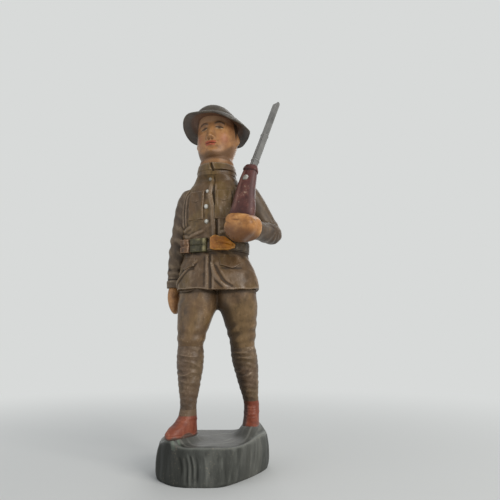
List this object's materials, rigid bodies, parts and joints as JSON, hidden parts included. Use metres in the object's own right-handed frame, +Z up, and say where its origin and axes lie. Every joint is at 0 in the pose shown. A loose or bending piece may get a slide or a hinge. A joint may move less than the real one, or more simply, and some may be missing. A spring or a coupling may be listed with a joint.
{
  "type": "toy soldier figure",
  "caption": "Painted composition toy soldier marching on a thick base, with a brimmed helmet, belted tunic, wrapped leggings and a rifle sloped on the left shoulder.",
  "frame": {"origin": "middle of the base's underside", "axes": "+Z up; the figure faces -Y and its left hand is on +X"},
  "size_m": [0.0239, 0.0216, 0.0781],
  "materials": {
    "base_paint": "matt grey paint on pressed paste",
    "tunic_paint": "brushed khaki paint, slightly glossy",
    "breeches_paint": "brushed khaki paint, slightly glossy",
    "puttee_paint": "brown paint, darker between the wraps",
    "boot_paint": "orange-brown paint",
    "skin_paint": "tan face paint with painted features",
    "helmet_paint": "dull brown paint",
    "strap_paint": "olive paint with a light edge",
    "pouch_paint": "ochre paint",
    "button_paint": "silver paint",
    "stock_paint": "maroon paint, glossy",
    "barrel_tin": "grey tin",
    "iron_wire": "plain iron wire"
  },
  "bodies": {
    "root": {"base": "base_paint", "right_leg_wire": "iron_wire", "left_leg_wire": "iron_wire", "arm_wire": "iron_wire", "neck_wire": "iron_wire", "right_boot": "boot_paint", "left_boot": "boot_paint", "right_puttee": "puttee_paint", "left_puttee": "puttee_paint", "breeches": "breeches_paint", "tunic": "tunic_paint", "collar": "tunic_paint", "breast_pockets": "tunic_paint", "skirt_pocket_flaps": "tunic_paint", "tunic_buttons": "button_paint", "belt": "strap_paint", "belt_buckle": "strap_paint", "left_pouch": "pouch_paint", "right_pouch": "pouch_paint", "right_sleeve": "tunic_paint", "left_sleeve": "tunic_paint", "right_hand": "skin_paint", "left_hand": "skin_paint", "head": "skin_paint", "helmet": "helmet_paint", "rifle_stock": "stock_paint", "trigger_plate": "button_paint", "barrel": "barrel_tin", "bayonet": "barrel_tin"}
  },
  "joints": []
}
